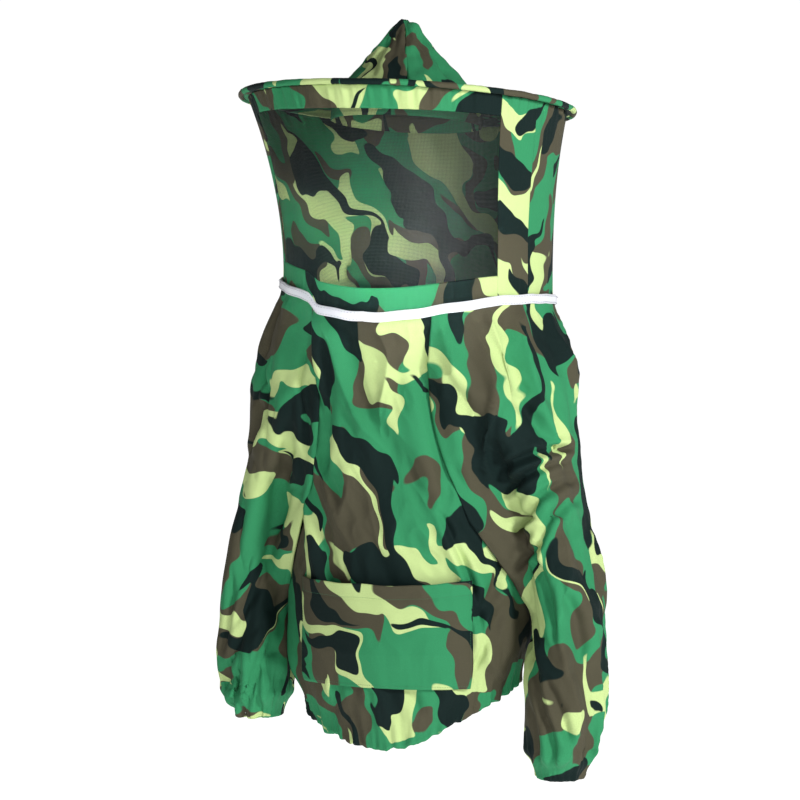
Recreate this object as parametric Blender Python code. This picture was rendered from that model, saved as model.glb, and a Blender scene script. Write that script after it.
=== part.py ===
"""Beekeeping jacket: a pullover smock with a round sprung-brim hat and a see-through veil sewn to it.

Metres, +Z up. The wearer faces -Y and the wearer's left is +X. The origin is the middle of the ring
where the veil is sewn to the jacket, which is where the wearer's shoulders carry it.
Angles round the body are measured from the front, -Y, towards the wearer's left, +X.
"""

import math

import bpy
from mathutils import Matrix, Vector

# --- cloth ---------------------------------------------------------------------------------------
CLOTH = 0.0012          # thickness of a sewn panel with its seam allowance
NETTING = 0.0008
EDGE_GAP = 0.0004       # left between the cut edges of two panels that are sewn together
LAYER_GAP = 0.0006      # left between two layers that lie on each other

# --- hat -----------------------------------------------------------------------------------------
HAT_X = -0.006          # the hat sits a little to the wearer's right
BRIM_Z = 0.245
BRIM_ROLL = math.radians(3.3)    # the hat and neck ring lean down to the wearer's left
HOOP_RADIUS = 0.2085
HOOP_WIRE = 0.0015
BINDING_RADIUS = 0.0032
BRIM_OUTER = 0.2040
CROWN_RADIUS = 0.1000
CROWN_HEIGHT = 0.1065
CROWN_TIP_RADIUS = 0.0075
CROWN_SEAM = math.radians(22.0)  # angle of the first of the four crown seams
SWEATBAND_RADIUS = 0.0950
SWEATBAND_DROP = 0.024

# --- veil ----------------------------------------------------------------------------------------
NECK_X = 0.008
NECK_RADIUS = 0.168
VEIL_TOP_RADIUS = 0.194
VEIL_TOP_DROP = 0.0065           # the veil's top edge hangs this far under the brim
WINDOW_HALF_ANGLE = math.radians(55.7)
FRONT_HALF_ANGLE = math.radians(73.5)
WINDOW_BOTTOM = 0.125            # share of the veil's height
WINDOW_TOP = 0.90
NECK_BACK_Z = 0.009
NECK_DROOP = 0.036               # the neck ring hangs lower at the front
NECK_DROOP_ANGLE = math.radians(48.0)
TAPE_WIDTH = 0.012
TAPE_THICK = 0.0009

# --- jacket body: height, half width, half depth -------------------------------------------------
BODY_KEYS = (
    (0.01, 0.168, 0.166),
    (-0.13, 0.148, 0.140),
    (-0.25, 0.150, 0.124),
    (-0.36, 0.156, 0.114),
    (-0.60, 0.161, 0.111),
)
HEM_BACK_Z = -0.490
HEM_FRONT_DROP = 0.055
HEM_GATHER_HEIGHT = 0.060
HEM_GATHER = 0.12                # share by which the elastic pulls the hem in
HEM_DEPTH = 0.016
RAGLAN_ANGLE = math.radians(27.0)
RAGLAN_TOP_Z = -0.03
ARMPIT_Z = -0.39

# --- sleeves: height, centre x, centre y, half width, half depth ---------------------------------
SHOULDER_Z = -0.120              # foot of the shoulder cap
SLEEVE_TOP_Z = -0.125
SHOULDER_BULGE = 0.055
SLEEVE_CLEARANCE = 0.004         # between the sleeve's edges and the body panels
SLEEVE_KEYS = (
    (-0.125, 0.178, 0.000, 0.026, 0.080),
    (-0.25, 0.193, 0.000, 0.033, 0.075),
    (-0.38, 0.206, -0.010, 0.036, 0.065),
    (-0.50, 0.210, -0.030, 0.048, 0.058),
    (-0.55, 0.208, -0.032, 0.044, 0.052),
    (-0.585, 0.205, -0.033, 0.030, 0.034),
)
RIGHT_SLEEVE_LIFT = 0.040        # the right sleeve hangs this much shorter
CUFF_DEPTH = 0.014
CASING = 0.0034                  # outer to inner face of a turned-up hem
CASING_CLOTH = 0.0007
ELASTIC_THICK = 0.0008

# --- pocket --------------------------------------------------------------------------------------
POCKET_HALF_ANGLE = math.radians(44.0)
POCKET_TOP_Z = -0.341
POCKET_BOTTOM_Z = -0.471
POCKET_FULLNESS = 0.011          # how far the pocket stands off the front at its middle
POCKET_HEM = 0.020

CAMO_GREEN = (0.05, 0.32, 0.13)
WHITE = (0.86, 0.86, 0.88)
BLACK = (0.02, 0.03, 0.03)
STEEL = (0.55, 0.55, 0.56)


def clear_scene():
    for item in list(bpy.data.objects):
        bpy.data.objects.remove(item)


def material(name, colour, roughness=0.85, metallic=0.0):
    made = bpy.data.materials.new(name)
    made.use_nodes = True
    shader = made.node_tree.nodes["Principled BSDF"]
    shader.inputs["Base Color"].default_value = (*colour, 1.0)
    shader.inputs["Roughness"].default_value = roughness
    shader.inputs["Metallic"].default_value = metallic
    return made


# --- curves and surfaces -------------------------------------------------------------------------
def spread(low, high, cells):
    """cells + 1 evenly spaced values from low to high."""
    return [low + (high - low) * i / cells for i in range(cells + 1)]


def smooth(t):
    t = min(max(t, 0.0), 1.0)
    return t * t * (3 - 2 * t)


def at_height(keys, z):
    """The values of keys at height z, eased between the keys' heights."""
    if z >= keys[0][0]:
        return keys[0][1:]
    for high, low in zip(keys, keys[1:]):
        if z >= low[0]:
            t = smooth((high[0] - z) / (high[0] - low[0]))
            return tuple(a + (b - a) * t for a, b in zip(high[1:], low[1:]))
    return keys[-1][1:]


def neck_z(angle):
    """Height of the ring where veil and jacket meet."""
    turn = math.remainder(angle, math.tau)
    droop = NECK_DROOP * math.exp(-((turn / NECK_DROOP_ANGLE) ** 2))
    return NECK_BACK_Z - droop - math.tan(BRIM_ROLL) * NECK_RADIUS * math.sin(angle)


def hem_z(angle):
    return HEM_BACK_Z - HEM_FRONT_DROP * ((1 + math.cos(angle)) / 2) ** 1.5


def body(angle, z, out=0.0):
    """A point of the jacket's body, or one that stands off it by out."""
    wide, deep = at_height(BODY_KEYS, z)
    gather = 1 - HEM_GATHER * (1 - smooth((z - hem_z(angle)) / HEM_GATHER_HEIGHT))
    centre = NECK_X * smooth(1 + z / abs(SHOULDER_Z))
    return Vector(
        (
            centre + (wide * gather + out) * math.sin(angle),
            -(deep * gather + out) * math.cos(angle),
            z,
        )
    )


def raglan_angle(z):
    """Angle of the raglan seam at height z: it runs from the neck ring to the armpit."""
    share = min(max((RAGLAN_TOP_Z - z) / (RAGLAN_TOP_Z - ARMPIT_Z), 0.0), 1.0)
    return RAGLAN_ANGLE + (math.pi / 2 - RAGLAN_ANGLE) * share**3


def veil(angle, height, out=0.0):
    """A point of the veil. height is 0 at the neck ring and 1 at the brim."""
    radius = NECK_RADIUS + (VEIL_TOP_RADIUS - NECK_RADIUS) * height**2.2 + out
    centre = NECK_X + (HAT_X - NECK_X) * height**2
    low = neck_z(angle)
    high = BRIM_Z - VEIL_TOP_DROP - math.tan(BRIM_ROLL) * VEIL_TOP_RADIUS * math.sin(angle)
    return Vector(
        (
            centre + radius * math.sin(angle),
            -radius * math.cos(angle),
            low + (high - low) * height,
        )
    )


def sleeve_keys(side):
    """The sleeve's keys: the right sleeve's lower half hangs higher than the left one's."""
    if side > 0:
        return SLEEVE_KEYS
    first, last = SLEEVE_KEYS[1][0], SLEEVE_KEYS[-1][0]
    return tuple(
        (z + RIGHT_SLEEVE_LIFT * smooth((first - z) / (first - last)), *rest)
        for z, *rest in SLEEVE_KEYS
    )


def cuff_z(side):
    return sleeve_keys(side)[-1][0]


def shoulder(side, share, z, out=0.0):
    """A point on the rounded shoulder. share runs from the front raglan seam to the back one."""
    start = raglan_angle(z) + 3.5 * EDGE_GAP / NECK_RADIUS
    angle = start + (math.pi - 2 * start) * share
    bulge = SHOULDER_BULGE * smooth((neck_z(angle) - z) / (neck_z(angle) - SHOULDER_Z))
    point = body(angle, z, out + bulge * math.sin(math.pi * share) ** 0.8)
    return Vector((side * point.x, point.y, point.z)) if side < 0 else point


def sleeve(side, share, z, out=0.0):
    """A point of the sleeve. share runs round it from the underarm seam, by the front, to the seam.

    Above the armpit the seam is open, and its edges lie just outside the body's raglan seams."""
    wide_x, centre_y, half_x, half_y = at_height(sleeve_keys(side), z)
    turn = math.pi + math.tau * (EDGE_GAP / 0.25 + share * (1 - 2 * EDGE_GAP / 0.25))
    tube = Vector(
        (
            side * (wide_x + (half_x + out) * math.cos(turn)),
            centre_y + (half_y + out) * math.sin(turn),
            z,
        )
    )
    if z <= ARMPIT_Z:
        return tube
    open_top = shoulder(side, share, z, SLEEVE_CLEARANCE + out)
    return open_top.lerp(tube, smooth((SLEEVE_TOP_Z - z) / (SLEEVE_TOP_Z - ARMPIT_Z)))


# --- building ------------------------------------------------------------------------------------
def panel(name, point, across, down, finish, thick=CLOTH, ring=False, flip=False, parent=None):
    """A sheet of cloth over a grid of points, with its thickness laid behind its face.

    across and down are the grid's values. A ring joins its last column to its first."""
    columns = len(across)
    vertices = [point(u, v) for v in down for u in across]
    faces = []
    for row in range(len(down) - 1):
        for column in range(columns if ring else columns - 1):
            after = (column + 1) % columns
            corners = (
                row * columns + column,
                (row + 1) * columns + column,
                (row + 1) * columns + after,
                row * columns + after,
            )
            faces.append(corners[::-1] if flip else corners)
    mesh = bpy.data.meshes.new(name)
    mesh.from_pydata(vertices, [], faces)
    mesh.materials.append(finish)
    mesh.shade_smooth()
    item = bpy.data.objects.new(name, mesh)
    bpy.context.scene.collection.objects.link(item)
    item.parent = parent
    solid = item.modifiers.new("thickness", "SOLIDIFY")
    solid.thickness = thick
    solid.offset = -1.0
    solid.use_even_offset = True
    return item


def ring_angles(segments):
    return spread(0.0, math.tau, segments)[:-1]


def folded_edge(point_at, depth):
    """A turned-up hem as a path: down its outer face, round the fold and up its inner face.

    point_at(angle, rise, out) is a point of the edge. The result takes 0 to 5."""
    steps = (
        (depth, 0.0),
        (CASING / 2, 0.0),
        (0.0, -CASING * 0.3),
        (0.0, -CASING * 0.7),
        (CASING / 2, -CASING),
        (depth, -CASING),
    )
    return lambda angle, step: point_at(angle, *steps[step])


def make_hat(camo, camo_inside, steel):
    hat = bpy.data.objects.new("hat_frame", None)
    bpy.context.scene.collection.objects.link(hat)
    hat.matrix_world = Matrix.Translation((HAT_X, 0, BRIM_Z)) @ Matrix.Rotation(BRIM_ROLL, 4, "Y")

    def turned(angle, radius, z):
        return Vector((radius * math.sin(angle), -radius * math.cos(angle), z))

    def crown_z(radius):
        share = (radius - CROWN_TIP_RADIUS) / (CROWN_RADIUS - CROWN_TIP_RADIUS)
        return 0.001 + CROWN_HEIGHT * (1 - share) * (1 - 0.12 * share)

    names = ("crown_front_left", "crown_back_left", "crown_back_right", "crown_front_right")
    for number, name in enumerate(names):
        start = CROWN_SEAM + number * math.pi / 2

        def gore(share, radius, start=start):
            margin = EDGE_GAP / 2 / radius
            angle = start + margin + share * (math.pi / 2 - 2 * margin)
            return turned(angle, radius, crown_z(radius))

        radii = (CROWN_TIP_RADIUS, 0.03, 0.055, 0.08, CROWN_RADIUS)
        panel(name, gore, spread(0, 1, 7), radii, camo, parent=hat)

    tip_radii = (0.0015, 0.0045, CROWN_TIP_RADIUS - EDGE_GAP)
    tip_rise = 0.011
    panel(
        "crown_tip",
        lambda angle, r: turned(
            angle, r, crown_z(CROWN_TIP_RADIUS) + 0.0006 + tip_rise * (1 - r / CROWN_TIP_RADIUS)
        ),
        ring_angles(12),
        tip_radii,
        camo,
        ring=True,
        parent=hat,
    )
    layer = CLOTH + LAYER_GAP
    for name, z in (("brim_top", layer / 2), ("brim_underside", -layer / 2)):
        panel(
            name,
            lambda angle, r, z=z: turned(angle, r, z),
            ring_angles(40),
            (CROWN_RADIUS + 2 * EDGE_GAP, 0.15, BRIM_OUTER),
            camo,
            ring=True,
            parent=hat,
        )
    panel(
        "sweatband",
        lambda angle, z: turned(angle, SWEATBAND_RADIUS, z),
        ring_angles(32),
        (-0.001, -SWEATBAND_DROP),
        camo_inside,
        thick=0.0016,
        ring=True,
        parent=hat,
    )
    lips = spread(math.radians(140), math.radians(-140), 7)
    panel(
        "brim_binding",
        lambda angle, lip: turned(
            angle,
            HOOP_RADIUS + BINDING_RADIUS * math.cos(lip),
            -CLOTH / 2 + BINDING_RADIUS * math.sin(lip),
        ),
        ring_angles(40),
        lips,
        camo_inside,
        thick=CASING_CLOTH,
        ring=True,
        parent=hat,
    )
    bpy.ops.mesh.primitive_torus_add(
        major_radius=HOOP_RADIUS,
        minor_radius=HOOP_WIRE,
        major_segments=40,
        minor_segments=6,
    )
    hoop = bpy.context.object
    hoop.name = hoop.data.name = "brim_hoop"
    hoop.data.shade_smooth()
    hoop.data.materials.append(steel)
    hoop.parent = hat
    hoop.location = (0, 0, -CLOTH / 2)


def make_veil(camo, netting, white):
    edge = EDGE_GAP / NECK_RADIUS
    foot = 0.006
    sides = (
        ("veil_left_strip", WINDOW_HALF_ANGLE, FRONT_HALF_ANGLE),
        ("veil_right_strip", -FRONT_HALF_ANGLE, -WINDOW_HALF_ANGLE),
    )
    for name, start, end in sides:
        panel(name, veil, spread(start + edge, end - edge, 2), spread(1, foot, 6), camo)
    window = spread(-WINDOW_HALF_ANGLE + edge, WINDOW_HALF_ANGLE - edge, 14)
    gap = EDGE_GAP / BRIM_Z
    panel("veil_top_strip", veil, window, (1, WINDOW_TOP + gap), camo)
    panel("veil_bottom_strip", veil, window, (WINDOW_BOTTOM - gap, foot), camo)
    rows = spread(WINDOW_TOP - gap, WINDOW_BOTTOM + gap, 4)
    panel("veil_mesh", veil, window, rows, netting, thick=NETTING)
    behind = spread(FRONT_HALF_ANGLE + edge, math.tau - FRONT_HALF_ANGLE - edge, 24)
    panel("veil_back", veil, behind, spread(1, foot, 5), camo)

    def tape(angle, rise):
        wide = NECK_RADIUS + LAYER_GAP + TAPE_THICK
        return Vector(
            (NECK_X + wide * math.sin(angle), -wide * math.cos(angle), neck_z(angle) + rise)
        )

    panel(
        "neck_tape",
        tape,
        ring_angles(48),
        (TAPE_WIDTH / 2, -TAPE_WIDTH / 2),
        white,
        thick=TAPE_THICK,
        ring=True,
    )


def make_body(camo, camo_inside, webbing):
    columns = 14
    for name, turn in (("front_panel", 0.0), ("back_panel", math.pi)):

        def face(share, down, turn=turn):
            """down is 0 at the neck ring and 1 at the top of the hem's casing."""
            middle = turn + 0.5 * share
            top = neck_z(middle) - 0.001
            low = hem_z(turn + share * math.pi / 2) + HEM_DEPTH + EDGE_GAP
            z = top + (low - top) * down
            half = raglan_angle(z) - EDGE_GAP / NECK_RADIUS
            return body(turn + share * half, z)

        panel(name, face, spread(-1, 1, columns), spread(0, 1, 10), camo)

    def hem(angle, rise, out):
        """A point of the hem, which is straight from its edge up to its stitching."""
        low = body(angle, hem_z(angle), out)
        return low.lerp(body(angle, hem_z(angle) + HEM_DEPTH, out), rise / HEM_DEPTH)

    panel(
        "hem_casing",
        folded_edge(hem, HEM_DEPTH),
        ring_angles(40),
        range(6),
        camo_inside,
        thick=CASING_CLOTH,
        ring=True,
    )
    middle = -CASING / 2 + ELASTIC_THICK / 2
    panel(
        "hem_elastic",
        lambda angle, rise: hem(angle, rise, middle),
        ring_angles(40),
        (HEM_DEPTH - 0.002, CASING),
        webbing,
        thick=ELASTIC_THICK,
        ring=True,
    )


def make_pocket(camo, camo_inside):
    def patch(share_across, share_down):
        """Both shares run from -1 to 1 over the pocket."""
        z = POCKET_TOP_Z + (POCKET_BOTTOM_Z - POCKET_TOP_Z) * (share_down + 1) / 2
        full = (1 - share_across**4) * min(1.0, 1.6 * (1 - share_down))
        out = LAYER_GAP + CLOTH + POCKET_FULLNESS * full
        return body(POCKET_HALF_ANGLE * share_across, z, out)

    panel("pocket", patch, spread(-1, 1, 12), spread(-1, 1, 5), camo)
    hem_share = 2 * POCKET_HEM / (POCKET_TOP_Z - POCKET_BOTTOM_Z)

    def turned_hem(share_across, share_down):
        outer = patch(share_across * 0.82, share_down)
        behind = CLOTH + 2.5 * LAYER_GAP
        centre = Vector((0, 0, outer.z))
        return outer + (centre - outer).normalized() * behind

    rows = (-0.98, -0.98 + hem_share)
    panel("pocket_hem", turned_hem, spread(-1, 1, 12), rows, camo_inside, thick=CASING_CLOTH)


def make_sleeves(camo, camo_inside, webbing):
    for side, word in ((1, "left"), (-1, "right")):
        mirrored = side < 0

        def cap(share, down, side=side):
            """down is 0 at the neck ring and 1 at the shoulder cap's foot."""
            start = raglan_angle(RAGLAN_TOP_Z)
            angle = start + (math.pi - 2 * start) * share
            top = neck_z(angle * side) - 0.001
            z = top + (SHOULDER_Z - top) * down
            return shoulder(side, share, z)

        panel(
            f"{word}_shoulder", cap, spread(0, 1, 14), spread(0, 1, 5), camo, flip=mirrored
        )
        low = cuff_z(side) + CUFF_DEPTH + EDGE_GAP
        heights = (
            SLEEVE_TOP_Z,
            -0.18,
            -0.25,
            -0.31,
            -0.36,
            ARMPIT_Z,
            *spread(ARMPIT_Z, low, 6)[1:],
        )
        panel(
            f"{word}_sleeve",
            lambda share, z, side=side: sleeve(side, share, z),
            spread(0, 1, 20),
            heights,
            camo,
            flip=mirrored,
        )

        def ring(angle, z, out, side=side):
            centre_x, centre_y, half_x, half_y = at_height(sleeve_keys(side), z)
            across = side * centre_x + (half_x + out) * math.sin(angle)
            return Vector((across, centre_y - (half_y + out) * math.cos(angle), z))

        def mouth(angle, rise, out, side=side, ring=ring):
            """A point of the cuff, which is straight from its edge up to its stitching."""
            low = ring(angle, cuff_z(side), out)
            return low.lerp(ring(angle, cuff_z(side) + CUFF_DEPTH, out), rise / CUFF_DEPTH)

        panel(
            f"{word}_cuff_casing",
            folded_edge(mouth, CUFF_DEPTH),
            ring_angles(20),
            range(6),
            camo_inside,
            thick=CASING_CLOTH,
            ring=True,
        )
        middle = -CASING / 2 + ELASTIC_THICK / 2
        panel(
            f"{word}_cuff_elastic",
            lambda angle, rise, mouth=mouth: mouth(angle, rise, middle),
            ring_angles(20),
            (CUFF_DEPTH - 0.002, CASING),
            webbing,
            thick=ELASTIC_THICK,
            ring=True,
        )


clear_scene()
camo = material("camo_cloth", CAMO_GREEN)
camo_inside = material("camo_cloth_folded", CAMO_GREEN)
netting = material("black_netting", BLACK, 0.6)
white = material("white_tape", WHITE, 0.6)
webbing = material("elastic_webbing", WHITE, 0.7)
steel = material("spring_steel", STEEL, 0.3, 1.0)
make_hat(camo, camo_inside, steel)
make_veil(camo, netting, white)
make_body(camo, camo_inside, webbing)
make_pocket(camo, camo_inside)
make_sleeves(camo, camo_inside, webbing)
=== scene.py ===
"""Looks of the beekeeping jacket: printed cotton, netting, tape, gathers, seams, camera and light."""

import math

import bpy
import numpy as np
from mathutils import Matrix, Vector


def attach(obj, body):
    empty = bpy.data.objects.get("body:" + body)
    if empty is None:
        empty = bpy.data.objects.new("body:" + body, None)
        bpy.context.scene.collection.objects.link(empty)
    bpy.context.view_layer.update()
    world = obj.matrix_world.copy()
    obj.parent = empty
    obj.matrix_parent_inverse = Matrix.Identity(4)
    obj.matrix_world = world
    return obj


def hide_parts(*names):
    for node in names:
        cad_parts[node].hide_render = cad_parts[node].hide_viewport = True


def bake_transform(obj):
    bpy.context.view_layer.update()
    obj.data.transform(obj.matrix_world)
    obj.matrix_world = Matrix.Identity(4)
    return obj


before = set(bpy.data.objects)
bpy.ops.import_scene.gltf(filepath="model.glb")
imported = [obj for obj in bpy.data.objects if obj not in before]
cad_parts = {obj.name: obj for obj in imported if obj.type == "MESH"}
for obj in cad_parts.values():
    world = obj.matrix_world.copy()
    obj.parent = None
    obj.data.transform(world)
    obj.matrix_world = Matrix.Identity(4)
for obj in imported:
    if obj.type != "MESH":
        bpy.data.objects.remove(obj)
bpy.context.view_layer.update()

# --- the jacket's driving dimensions, the same as the CAD's ----------------------------------------
HAT_X, BRIM_Z, BRIM_ROLL = -0.006, 0.245, math.radians(3.3)
HOOP_RADIUS, BINDING_RADIUS = 0.2085, 0.0036
CROWN_RADIUS, CROWN_HEIGHT = 0.100, 0.1065
BRIM_HALF_GAP = 0.0016  # from the brim's middle to either cloth layer
SWEATBAND_RADIUS = 0.095
NECK_X, NECK_RADIUS, VEIL_TOP_RADIUS = 0.008, 0.168, 0.199
VEIL_TOP_DROP = 0.0025
WINDOW_ANGLE, FRONT_ANGLE = math.radians(55.7), math.radians(73.5)
NECK_BACK_Z, NECK_DROOP, NECK_DROOP_ANGLE = 0.009, 0.036, math.radians(48.0)
BODY_KEYS = np.array(
    [
        # height, half width, half depth
        (0.01, 0.168, 0.166),
        (-0.13, 0.148, 0.140),
        (-0.25, 0.150, 0.124),
        (-0.36, 0.156, 0.114),
        (-0.60, 0.161, 0.111),
    ]
)
SLEEVE_KEYS = np.array(
    [
        # height, middle x, middle y, half width, half depth
        (-0.125, 0.178, 0.000, 0.026, 0.080),
        (-0.25, 0.193, 0.000, 0.033, 0.075),
        (-0.38, 0.206, -0.010, 0.036, 0.065),
        (-0.50, 0.210, -0.030, 0.048, 0.058),
        (-0.55, 0.208, -0.032, 0.044, 0.052),
        (-0.585, 0.205, -0.033, 0.030, 0.034),
    ]
)
RIGHT_LIFT = 0.052  # the right sleeve hangs this much shorter
HEM_BACK_Z, HEM_FRONT_DROP = -0.490, 0.055
RAGLAN_ANGLE = math.radians(27.0)
SHOULDER_Z, SLEEVE_TOP_Z, ARMPIT_Z = -0.120, -0.125, -0.39
SHOULDER_BULGE = 0.055
POCKET_ANGLE, POCKET_TOP, POCKET_BOTTOM = math.radians(44.0), -0.341, -0.471
CLOTH = 0.0007
VEIL_HEIGHT = 0.25
TURNED_ROWS = 10  # mesh rows in a turned-under hem
HEM_ELASTIC_INSET, CUFF_ELASTIC_INSET = 0.0064, 0.0048

# --- colours ---------------------------------------------------------------------------------------
GREEN = (0.026, 0.205, 0.085)
LIME = (0.430, 0.550, 0.225)
BROWN = (0.060, 0.055, 0.034)
NAVY = (0.003, 0.011, 0.010)
WHITE = (0.60, 0.61, 0.65)


# --- smooth random fields --------------------------------------------------------------------------
def smooth(t):
    t = np.clip(t, 0.0, 1.0)
    return t * t * (3 - 2 * t)


def noise(x, y, seed=0):
    """Smooth noise of two coordinates, about -1 to 1, one lattice cell per unit."""
    x, y = np.broadcast_arrays(np.asarray(x, float), np.asarray(y, float))
    xi, yi = np.floor(x).astype(np.int64), np.floor(y).astype(np.int64)
    fx, fy = x - xi, y - yi

    def corner(i, j):
        h = (i * 374761393 + j * 668265263 + seed * 2147483647 + 12345) & 0xFFFFFFFF
        h = ((h ^ (h >> 13)) * 1274126177) & 0xFFFFFFFF
        h = (h ^ (h >> 16)) & 0xFFFFFFFF
        angle = h / 0xFFFFFFFF * math.tau
        return np.cos(angle), np.sin(angle)

    def dot(i, j):
        gx, gy = corner(xi + i, yi + j)
        return gx * (fx - i) + gy * (fy - j)

    u = fx**3 * (fx * (fx * 6 - 15) + 10)
    v = fy**3 * (fy * (fy * 6 - 15) + 10)
    low = dot(0, 0) * (1 - u) + dot(1, 0) * u
    high = dot(0, 1) * (1 - u) + dot(1, 1) * u
    return (low * (1 - v) + high * v) * 1.5


def keyed(keys, z):
    """Columns 1.. of keys at height z, eased between the keys."""
    z = np.asarray(z, float)
    out = [np.full(z.shape, c) for c in keys[0][1:]]
    for high, low in zip(keys, keys[1:]):
        t = smooth((high[0] - z) / (high[0] - low[0]))
        inside = z < high[0]
        for k in range(len(out)):
            out[k] = np.where(inside, high[k + 1] + (low[k + 1] - high[k + 1]) * t, out[k])
    return out


# --- the jacket's surfaces -------------------------------------------------------------------------
def neck_z(angle):
    turn = np.remainder(np.asarray(angle) + math.pi, math.tau) - math.pi
    droop = NECK_DROOP * np.exp(-((turn / NECK_DROOP_ANGLE) ** 2))
    # the cloth is folded over itself at the right front, so the ring steps up there
    step = 0.009 * smooth((-turn - math.radians(23)) / math.radians(7)) * smooth((turn + 2.6) / 1.2)
    return NECK_BACK_Z - droop + step - math.tan(BRIM_ROLL) * NECK_RADIUS * np.sin(angle)


def hem_z(angle):
    base = HEM_BACK_Z - HEM_FRONT_DROP * ((1 + np.cos(angle)) / 2) ** 1.5
    lift = 0.036 * smooth(np.sin(angle)) + 0.012 * smooth(-np.sin(angle))
    angle = np.asarray(angle)
    scallop = 0.0035 * noise(angle * 7.0, 3.1, 5) + 0.002 * noise(angle * 17, 1.7, 9)
    return base + lift + scallop


def body(angle, z, out=0.0):
    angle, z = np.broadcast_arrays(np.asarray(angle, float), np.asarray(z, float))
    wide, deep = keyed(BODY_KEYS, z)
    rise = z - hem_z(angle)
    gather = 1 - 0.13 * (1 - smooth((rise + 0.004) / 0.075))
    centre = NECK_X * smooth(1 + z / abs(SHOULDER_Z))
    near = np.exp(-np.clip(rise, 0, 1) / 0.030)
    broad = 0.0055 * noise(angle * 13.0, rise * 9.0, 21)
    fine = 0.0035 * noise(angle * 29.0, rise * 16.0, 22)
    out = out + near * (broad + fine)
    return np.stack(
        [centre + (wide * gather + out) * np.sin(angle), -(deep * gather + out) * np.cos(angle), z], -1
    )


def raglan(z):
    share = np.clip((-0.03 - z) / (-0.03 - ARMPIT_Z), 0, 1)
    return RAGLAN_ANGLE + (math.pi / 2 - RAGLAN_ANGLE) * share**3


def veil(angle, height, out=0.0):
    angle, height = np.broadcast_arrays(np.asarray(angle, float), np.asarray(height, float))
    radius = NECK_RADIUS + (VEIL_TOP_RADIUS - NECK_RADIUS) * np.clip(height, 0, 1.2) ** 2.2 + out
    centre = NECK_X + (HAT_X - NECK_X) * height**2
    low = neck_z(angle)
    high = BRIM_Z - VEIL_TOP_DROP - math.tan(BRIM_ROLL) * VEIL_TOP_RADIUS * np.sin(angle)
    return np.stack(
        [centre + radius * np.sin(angle), -radius * np.cos(angle), low + (high - low) * height], -1
    )


def sleeve_keys(side):
    keys = SLEEVE_KEYS.copy()
    if side < 0:
        first, last = keys[1][0], keys[-1][0]
        keys[:, 0] += RIGHT_LIFT * smooth((first - keys[:, 0]) / (first - last))
        keys[3:, 1] -= 0.008
    keys[:, 0] += 0.010 * smooth((-0.30 - keys[:, 0]) / 0.25)
    return keys


def shoulder(side, share, z, out=0.0):
    start = raglan(z)
    angle = start + (math.pi - 2 * start) * share
    top = neck_z(angle * side)
    bulge = SHOULDER_BULGE * smooth((top - z) / (top - SHOULDER_Z))
    p = body(angle, np.maximum(z, -0.42), out + bulge * np.sin(math.pi * share) ** 0.8)
    p = np.array(p)
    p[..., 2] = z
    centre = NECK_X * smooth(1 + z / abs(SHOULDER_Z))
    p[..., 0] = side * (p[..., 0] - centre) + centre
    return p


def sleeve(side, share, z):
    """share runs round the sleeve from its front seam with the body, by the outside, to its back seam."""
    share, z = np.broadcast_arrays(np.asarray(share, float), np.asarray(z, float))
    keys = sleeve_keys(side)
    cx, cy, hx, hy = keyed(keys, z)
    turn = math.pi + math.tau * share
    tube = np.stack([side * (cx + hx * np.cos(turn)), cy + hy * np.sin(turn), z], -1)
    opened = shoulder(side, share, z, 0.003)
    mix = smooth((SLEEVE_TOP_Z + 0.01 - z) / 0.19)[..., None]
    p = opened * (1 - mix) + tube * mix
    # the edges stay sewn to the body down to the armpit
    hold = smooth((z - (ARMPIT_Z - 0.03)) / 0.06)[..., None]
    for end in (0.0, 1.0):
        seam = shoulder(side, np.full(z.shape, end), z, 0.0014)
        at_end = shoulder(side, np.full(z.shape, end), z, 0.003) * (1 - mix)
        edge_turn = math.pi + math.tau * end
        at_end = at_end + np.stack(
            [side * (cx + hx * math.cos(edge_turn)), cy + hy * math.sin(edge_turn), z], -1
        ) * mix
        away = share if end == 0 else 1 - share
        pull = (1 - smooth(away / 0.11))[..., None] * hold
        p = p + (seam - at_end) * pull
    return p


# --- meshes ----------------------------------------------------------------------------------------
def normals_of(p):
    du = np.gradient(p, axis=1)
    dv = np.gradient(p, axis=0)
    n = np.cross(dv, du)
    return n / np.maximum(np.linalg.norm(n, axis=-1, keepdims=True), 1e-9)


def add(name, p, uv, finish, ring=False, flip=False, thick=CLOTH):
    """A sheet from a grid of points, p[row, column], with its print's coordinates in metres."""
    rows, cols = p.shape[:2]
    mesh = bpy.data.meshes.new(name)
    j, i = np.meshgrid(np.arange(rows - 1), np.arange(cols if ring else cols - 1), indexing="ij")
    k = (i + 1) % cols
    quads = np.stack([j * cols + i, (j + 1) * cols + i, (j + 1) * cols + k, j * cols + k], -1)
    quads = quads.reshape(-1, 4)
    if flip:
        quads = quads[:, ::-1]
    mesh.from_pydata(p.reshape(-1, 3).tolist(), [], quads.tolist())
    layer = mesh.uv_layers.new(name="print")
    flat = uv.reshape(-1, 2)
    loops = np.array([loop.vertex_index for loop in mesh.loops])
    coords = flat[loops].copy()
    if ring:  # the closing column's print runs on instead of jumping back
        step = uv[0, 1, 0] - uv[0, 0, 0]
        col = loops % cols
        quad_first = np.repeat(i.reshape(-1) == cols - 1, 4)
        last = quad_first & (col == 0)
        coords[last, 0] = flat[loops[last], 0] + step * cols
    layer.data.foreach_set("uv", coords.reshape(-1).astype(np.float32))
    mesh.materials.append(finish)
    mesh.shade_smooth()
    o = bpy.data.objects.new(name, mesh)
    bpy.context.scene.collection.objects.link(o)
    m = o.modifiers.new("thickness", "SOLIDIFY")
    m.thickness, m.offset, m.use_even_offset = thick, -1.0, False
    return o


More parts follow.
